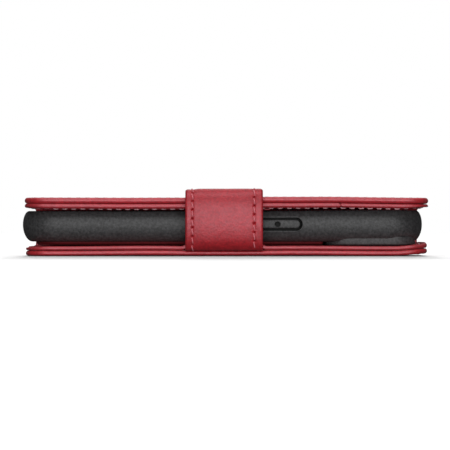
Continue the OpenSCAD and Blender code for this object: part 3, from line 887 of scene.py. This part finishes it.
side_places, tip_places = strap_stitch_rows()
for name, places, body, node in (
    ("strap_side_stitches", side_places, "strap_side", "strap_side_stitching"),
    ("strap_tip_stitches", tip_places, "strap_tip", "strap_tip_stitching"),
):
    piece = stitches(name, places, body, (node,), 2.5, 0.2, sink=0.3, proud=0.14)
    piece.data.materials[0] = MATERIALS["strap_thread"]


# ---- Moulded shell ----

SHELL_MID = (shell_low[0] + shell_high[0]) / 2
SHELL_HX = (shell_high[0] - shell_low[0]) / 2 + 0.75  # its ends stand out past the CAD solid
SHELL_HY = (shell_high[1] - shell_low[1]) / 2
SHELL_CORNER = 12.5
WALL = 2.15
UNDER, UPPER, LIP = 3.4, 2.2, 3.0  # how far the wall's curves and the lip pull in
SHELL_Z = skin_high[2]  # underside of the moulded back
FLOOR_Z = SHELL_Z + 1.35
RIM_Z = shell_high[2]
WAIST_Z = SHELL_Z + 5.85
CAMERA_SIDE, CAMERA_CORNER = 30.9, 8.0
CAMERA_X = shell_high[0] - 1.7 - CAMERA_SIDE / 2
CAMERA_Y = -SHELL_HY + 1.45 + CAMERA_SIDE / 2
LENS_SIDE, LENS_CORNER = CAMERA_SIDE - 4.9, CAMERA_CORNER - 2
LIP_Z = FLOOR_Z + 7.75  # underside of the lip that holds the phone
PORT_Z = FLOOR_Z + 7.65 / 2  # middle of the phone's thickness
SHARP = 38  # degrees between faces that count as an edge on moulded parts


def button_box(node):
    """Middle and half size of a button's pill along X, and its middle height."""
    low, high = box(node)
    return (low[0] + high[0]) / 2, (high[0] - low[0]) / 2 - 1.5, (low[2] + high[2]) / 2


BUTTONS = {
    "power_button": (*button_box("power_button"), -1),
    "volume_up_button": (*button_box("volume_up_button"), 1),
    "volume_down_button": (*button_box("volume_down_button"), 1),
}
PILL_HALF = 1.45
GROOVE, GROOVE_DEPTH = 0.74, 1.9
KEY_THICK, KEY_ROUND, KEY_SUNK = 1.2, 0.3, 0.1
DIMPLE = ((1.1, -3.0), (1.08, 0.0), (0.95, 0.14), (0.9, 0.85))  # radius and depth, from outside in


def wall_inset(z):
    """How far the shell's outer wall pulls in at height z."""
    if z < WAIST_Z:
        share = min((WAIST_Z - z) / (WAIST_Z - SHELL_Z), 1.0)
        return UNDER * (1 - math.sqrt(1 - share ** 2))
    share = min((z - WAIST_Z) / (RIM_Z - WAIST_Z), 1.0)
    return UPPER * (1 - math.sqrt(1 - share ** 2))


def pill_distance(u, v, half, radius):
    """Signed distance from the edge of a pill: negative inside."""
    return math.hypot(max(abs(u) - (half - radius), 0.0), v) - radius


def groove_distance(x, z, button):
    """Signed distance from the edge of the recess round a button."""
    middle, half, level, _ = button
    return pill_distance(x - middle, z - level, half + GROOVE, PILL_HALF + GROOVE)


def in_groove(at, button):
    out = at.y * button[3]
    sunk = SHELL_HY - wall_inset(at.z) - out
    return groove_distance(at.x, at.z, button) < 0.12 and out > 0 and 0.3 < sunk < 2.5


def recess(x, z, side):
    """Depth of the moulded recess round each button on one side of the shell."""
    depth = 0.0
    for button in BUTTONS.values():
        middle, half, _, far = button
        if far == side and abs(x - middle) <= half + 3:
            d = groove_distance(x, z, button)
            depth = max(depth, GROOVE_DEPTH * fade(d, -0.12, 0.1)) - 0.05 * hump(d, 0.35, 0.22)
    return depth


def wall_columns(close):
    """Places along a side wall: even, and at each of close, (start, end, spacing), nearer together."""
    cx = SHELL_HX - SHELL_CORNER
    spans = [np.arange(*span) - SHELL_MID for span in close]
    places = np.unique(np.concatenate([np.linspace(-cx, cx, 40), *spans]))
    return places[(places >= -cx) & (places <= cx)]


def shell_ring(inset, z, carve=False):
    """Points round the shell, anticlockwise, at one height."""
    cx, cy = SHELL_HX - SHELL_CORNER, SHELL_HY - SHELL_CORNER
    r = max(SHELL_CORNER - inset, 0.5)

    def carved(x, side):
        return recess(x + SHELL_MID, z, side) if carve else 0

    arc = [(r * math.sin(a), r * math.cos(a)) for a in (math.pi / 2 * i / 12 for i in range(1, 12))]
    points = [(x, -cy - r + carved(x, -1)) for x in NEAR_COLUMNS]
    points += [(cx + a, -cy - b) for a, b in arc]
    points += [(cx + r, y) for y in np.linspace(-cy, cy, 14)]
    points += [(cx + b, cy + a) for a, b in arc]
    points += [(x, cy + r - carved(x, 1)) for x in FAR_COLUMNS[::-1]]
    points += [(-cx - a, cy + b) for a, b in arc]
    points += [(-cx - r, y) for y in np.linspace(cy, -cy, 14)]
    points += [(-cx - b, -cy - a) for a, b in arc]
    lift = max(z - FLOOR_Z - 1, 0) / (RIM_Z - FLOOR_Z - 1) * 0.3
    return [(x + SHELL_MID, y, z + lift * ease(x, 10, 60)) for x, y in points]


# Close together by the power button, and by the volume buttons on the far side.
NEAR_COLUMNS = wall_columns([(8.0, 11.4, 0.13), (11.4, 23.6, 0.6), (23.6, 27.4, 0.13)])
FAR_COLUMNS = wall_columns([(6.4, 31.6, 0.2)])


def stack(rings, cap=True):
    """Points and faces of closed rings joined one to the next, with the first and last filled in."""
    n = len(rings[0])
    points = [p for ring in rings for p in ring]
    faces = [
        (i * n + k, i * n + (k + 1) % n, (i + 1) * n + (k + 1) % n, (i + 1) * n + k)
        for i in range(len(rings) - 1) for k in range(n)
    ]
    if cap:
        faces += [tuple(reversed(range(n))), tuple((len(rings) - 1) * n + k for k in range(n))]
    return points, faces


def outline(corners, inset=0.0, steps=7):
    """Points anticlockwise round a shape whose sides run along X and Y.

    corners: (x, y, radius), with a negative radius for the inner corner of a notch.
    """
    points = []
    count = len(corners)
    for i, (x, y, radius) in enumerate(corners):
        before, after = corners[i - 1], corners[(i + 1) % count]
        d_in, d_out = np.sign([x - before[0], y - before[1]]), np.sign([after[0] - x, after[1] - y])
        n_in, n_out = np.array((-d_in[1], d_in[0])), np.array((-d_out[1], d_out[0]))
        spot = np.array((x, y)) + inset * (n_in + n_out)
        turn = 1 if radius > 0 else -1
        r = max(abs(radius) - turn * inset, 0.05)
        centre = spot + turn * r * (n_in + n_out)
        for k in range(steps + 1):
            a = math.pi / 2 * k / steps
            points.append(tuple(centre - turn * r * (n_in * math.cos(a) + n_out * math.sin(a))))
    return points


def square(x, y, side, radius):
    h = side / 2
    return [(x + h, y - h, radius), (x + h, y + h, radius), (x - h, y + h, radius), (x - h, y - h, radius)]


def at_height(points, z):
    return [(x, y, z) for x, y in points]


def pill(straight, radius, steps):
    """Points (u, v) round a pill whose round ends are centred straight either side of its middle."""
    points = []
    for side in (1, -1):
        for k in range(steps + 1):
            a = math.pi * k / steps - side * math.pi / 2
            points.append((side * straight + radius * math.cos(a), radius * math.sin(a)))
    return points


def pill_prism(u_half, v_half, place, outside, inside, axis, flare):
    """A cutter with a flared mouth: a pill in the plane across axis, from outside to inside along it."""
    inward = 1 if inside > outside else -1

    def ring(grow, depth):
        flat = [(place[0] + u, place[1] + v) for u, v in pill(u_half - v_half, v_half + grow, 12)]
        return [(depth, u, v) if axis == "x" else (u, depth, v) for u, v in flat]
    return stack([ring(flare, outside - inward * 3), ring(flare, outside),
                  ring(0, outside + inward * flare), ring(0, inside)])


def cut(piece, cutters, solver="EXACT"):
    """Cuts the cutters, each (points, faces), out of a piece."""
    points, faces = [], []
    for more_points, more_faces in cutters:
        faces += [tuple(len(points) + i for i in face) for face in more_faces]
        points += more_points
    tool = new_object("cutter", points, faces)
    modifier = piece.modifiers.new("cut", "BOOLEAN")
    modifier.operation = "DIFFERENCE"
    modifier.solver = solver
    if solver == "EXACT":
        modifier.use_self = True
    modifier.object = tool
    bpy.context.view_layer.update()
    evaluated = piece.evaluated_get(bpy.context.evaluated_depsgraph_get())
    mesh = bpy.data.meshes.new_from_object(evaluated)
    piece.modifiers.clear()
    piece.data = mesh
    crease(mesh, SHARP)
    bpy.data.objects.remove(tool)


def make_shell():
    """The tray that holds the phone, with its lip, its openings and a recess round each button."""
    heights = [WAIST_Z - (WAIST_Z - SHELL_Z) * math.cos(math.radians(a)) for a in range(0, 49, 8)]
    z = WAIST_Z - 2.9
    while z < WAIST_Z + 2.9:
        if z > heights[-1] + 0.1:
            heights.append(z)
        z += 0.12
    top = [WAIST_Z + (RIM_Z - WAIST_Z) * math.sin(math.radians(a)) for a in (*range(44, 85, 8), 90)]
    heights += [h for h in top if h > heights[-1] + 0.1]
    rings = [shell_ring(UNDER + 4, SHELL_Z), shell_ring(UNDER + 0.8, SHELL_Z)]
    rings += [shell_ring(wall_inset(h), h, carve=True) for h in heights]
    rings += [shell_ring(inset, z) for inset, z in (
        (LIP - 0.15, RIM_Z), (LIP, RIM_Z - 0.15), (LIP, LIP_Z + 0.5), (WALL, LIP_Z), (WALL, FLOOR_Z + 0.8),
        (WALL + 0.25, FLOOR_Z + 0.25), (WALL + 0.8, FLOOR_Z), (WALL + 4, FLOOR_Z))]
    shell = new_object("moulded_shell", *stack(rings), SHARP)
    lens = outline(square(CAMERA_X, CAMERA_Y, LENS_SIDE, LENS_CORNER))
    port_x, far_y = shell_low[0], shell_high[1]
    cutters = [stack([at_height(lens, SHELL_Z - 4), at_height(lens, FLOOR_Z + 3)]),
               pill_prism(6.5, 3.0, (0, PORT_Z), port_x + 0.15, port_x + 4, "x", 0.4)]
    for side in (-1, 1):
        for i in range(5):
            hole_y = side * (10.4 + 2.6 * i)
            cutters.append(pill_prism(0.851, 0.85, (hole_y, PORT_Z), port_x + 0.1, port_x + 4, "x", 0.15))
    cutters.append(pill_prism(4.8, 2.4, (39.0, WAIST_Z + 0.1), far_y - 0.1, far_y - 4, "y", 0.35))
    cut(shell, cutters)
    finish_piece(shell, "moulded_shell", "shell")
    # Painted shade: the grooves round the buttons are painted near black.
    paint(shell, "dimple", lambda at: any(in_groove(at, button) for button in BUTTONS.values()))
    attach(shell, "phone_shell")


make_shell()


def make_camera_frame():
    """The raised frame round the camera opening, below the shell's back."""
    side = square(CAMERA_X, CAMERA_Y, CAMERA_SIDE, CAMERA_CORNER)
    lens = square(CAMERA_X, CAMERA_Y, LENS_SIDE, LENS_CORNER)
    low = shell_low[2]
    turn = [math.pi / 2 * k / 4 for k in range(1, 5)]
    rings = [(side, 0.5, FLOOR_Z - 0.3), (side, 0.0, SHELL_Z + 1.6), (side, 0.0, low + 0.75)]
    rings += [(side, 0.7 * (1 - math.cos(a)), low + 0.7 - 0.7 * math.sin(a)) for a in turn]
    rings += [(lens, inset, z) for inset, z in (
        (-0.5, low), (-0.15, low + 0.12), (0.0, low + 0.5), (0.0, FLOOR_Z - 0.3))]
    points, faces = stack([at_height(outline(corners, inset), z) for corners, inset, z in rings], cap=False)
    n = len(points) // len(rings)
    last = len(points) - n
    faces += [(k, (k + 1) % n, last + (k + 1) % n, last + k) for k in range(n)]
    piece = new_object("camera_frame", points, faces, SHARP)
    finish_piece(piece, "moulded_shell")
    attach(piece, "phone_shell")


make_camera_frame()


def make_button(node, body, dimple=False):
    """A pill-shaped key whose face follows the wall's curve, with soft edges."""
    middle, half, level, far = BUTTONS[node]

    def ring(inset, depth):
        return [(middle + u, far * (SHELL_HY - wall_inset(level + v) - depth), level + v)
                for u, v in pill(half - PILL_HALF, PILL_HALF - inset, 26)]

    turn = [math.pi / 2 * k / 4 for k in range(1, 5)]
    edge = KEY_SUNK + 0.02
    rings = [ring(0.0, KEY_THICK), ring(0.0, edge + KEY_ROUND)]
    rings += [ring(KEY_ROUND * (1 - math.cos(a)), edge + KEY_ROUND * (1 - math.sin(a))) for a in turn]
    rings += [ring(inset, KEY_SUNK) for inset in (0.5, 0.75, 1.0, 1.2, 1.35, 1.43)]
    piece = new_object(node + "_key", *stack(rings), SHARP)
    if dimple:
        face_y = SHELL_HY - KEY_SUNK
        circle = [(math.cos(a), math.sin(a)) for a in (2 * math.pi * k / 32 for k in range(32))]
        cut(piece, [stack([[(middle + size * u, far * (face_y - depth), level + size * v) for u, v in circle]
                           for size, depth in DIMPLE])])
    finish_piece(piece, "moulded_shell", node)
    # Painted shade: the inside of the dimple is painted near black.
    if dimple:
        paint(piece, "dimple", lambda at: math.hypot(at.x - middle, at.z - level) < 0.97
              and SHELL_HY - wall_inset(at.z) - far * at.y > 0.16)
    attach(piece, body)


make_button("power_button", "power_key", dimple=True)
make_button("volume_up_button", "volume_up_key")
make_button("volume_down_button", "volume_down_key")


def make_shell_leather():
    """The leather on the shell's back, cut away round the camera frame."""
    (x0, y0, low), (x1, y1, high) = skin_low, skin_high
    corner = SHELL_CORNER - UNDER - 0.5
    notch = CAMERA_SIDE / 2 + 0.6
    nx, ny = CAMERA_X - notch, CAMERA_Y + notch
    corners = [(nx, y0, 1.5), (nx, ny, -2.5), (x1, ny, 1.5)]
    corners += [(x, y, corner) for x, y in ((x1, y1), (x0, y1), (x0, y0))]
    turn = [math.pi / 2 * k / 5 for k in range(6)]
    side = high - 0.25
    rings = [(0.15, high)]
    rings += [(0.15 + 0.75 * (1 - math.cos(a)), side - (side - low) * math.sin(a)) for a in turn]
    rings += [(1.3, low)]
    points, faces = stack([at_height(outline(corners, inset), z) for inset, z in rings])
    piece = new_object("shell_back_leather", points, faces, sharp=50)
    finish_piece(piece, "outer_leather", "shell_leather")
    # Painted shade: the shell's leather gets the darker copy of the outer leather.
    piece.data.materials[0] = MATERIALS["shell_skin"]
    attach(piece, "phone_shell")


make_shell_leather()


# ---- Camera window through the back cover ----

def cut_window():
    """Opens the back cover under the camera frame."""
    window = outline(square(CAMERA_X, CAMERA_Y, CAMERA_SIDE - 2.4, CAMERA_CORNER - 1))
    for piece in (back_skin, back_lining_skin):
        cut(piece, [stack([at_height(window, -6), at_height(window, 8)])], "FAST")


cut_window()
for piece in (front_skin, front_lining_skin):
    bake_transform(piece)
for piece in (back_skin, back_lining_skin):
    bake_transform(piece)


# ---- Studio ----

def area_light(name, place, target, size, power):
    data = bpy.data.lights.new(name, "AREA")
    data.shape = "RECTANGLE"
    data.size, data.size_y = size
    data.energy = power
    light = in_scene(name, data)
    light.location = place
    light.rotation_euler = (Vector(target) - Vector(place)).to_track_quat("-Z", "Y").to_euler()
    light.visible_camera = False
    return light


def table_sun(elevation, angle, strength, floor):
    """A soft distant light from behind the object that lights only the floor. Angles are in degrees."""
    data = bpy.data.lights.new("table_sun", "SUN")
    data.angle = math.radians(angle)
    data.energy = strength
    light = in_scene("table_sun", data)
    light.rotation_euler = (math.radians(elevation - 90), 0, 0)
    lit = bpy.data.collections.new("table_sun")
    lit.objects.link(floor)
    light.light_linking.receiver_collection = lit


FLOOR_DROP = 0.2  # room for the back cover's sagging ends
TABLE_SUNS = ((6.3, 7.5, 0.47), (20.0, 24.0, 0.2), (85.0, 100.0, 0.36))  # elevation, angle, share
CASE = (0, 0, 0.01)  # middle of the closed case, in metres like all places of lights
TABLE = math.pi / 0.88  # light on the floor that makes it just white


def studio():
    bpy.ops.mesh.primitive_plane_add(size=9, location=(0, 0, FLOOR_DROP * -MM))
    floor = bpy.context.object
    floor.name = "floor"
    n = Nodes("floor")
    n.shade(Base_Color=n.ramp(n.noise(0.02), (0.3, (0.86, 0.86, 0.86)), (0.7, (0.9, 0.9, 0.9))),
            Roughness=0.9, Specular_IOR_Level=0.0)
    floor.data.materials.append(n.material)
    floor.visible_diffuse = False
    floor.visible_glossy = False
    world = bpy.data.worlds.new("studio")
    bpy.context.scene.world = world
    world.use_nodes = True
    tree = world.node_tree
    seen, light = tree.nodes["Background"], tree.nodes.new("ShaderNodeBackground")
    seen.inputs["Color"].default_value = light.inputs["Color"].default_value = (1, 1, 1, 1)
    seen.inputs["Strength"].default_value = 1.0
    light.inputs["Strength"].default_value = 0.06
    path, mix = tree.nodes.new("ShaderNodeLightPath"), tree.nodes.new("ShaderNodeMixShader")
    tree.links.new(path.outputs["Is Camera Ray"], mix.inputs["Fac"])
    tree.links.new(light.outputs["Background"], mix.inputs[1])
    tree.links.new(seen.outputs["Background"], mix.inputs[2])
    tree.links.new(mix.outputs["Shader"], tree.nodes["World Output"].inputs["Surface"])
    boxes = [
        area_light("front_box", (0.05, -1.2, 0.06), CASE, (1.7, 0.24), 11.0),
        area_light("upper_box", (0, -0.75, 0.95), CASE, (1.5, 0.3), 5.4),
        area_light("back_box", (0, 1.0, 1.2), CASE, (1.2, 0.6), 5.0),
        area_light("top_box", (0, 0.15, 1.3), (0, 0, 0), (1.2, 1.0), 3.5),
    ]
    unlit = bpy.data.collections.new("table")
    unlit.objects.link(floor)
    unlit.collection_objects[0].light_linking.link_state = "EXCLUDE"
    for light in boxes:
        light.light_linking.receiver_collection = unlit
    for elevation, angle, share in TABLE_SUNS:
        table_sun(elevation, angle, share * TABLE / math.sin(math.radians(elevation)), floor)
    bpy.context.scene.view_settings.view_transform = "Standard"


studio()

slots = {s["node"]: s["material_slot"] for s in frame["record"]["subparts"]}
for node, cad in frame["nodes"].items():
    cad.data.materials.clear()
    cad.data.materials.append(MATERIALS[slots[node]])
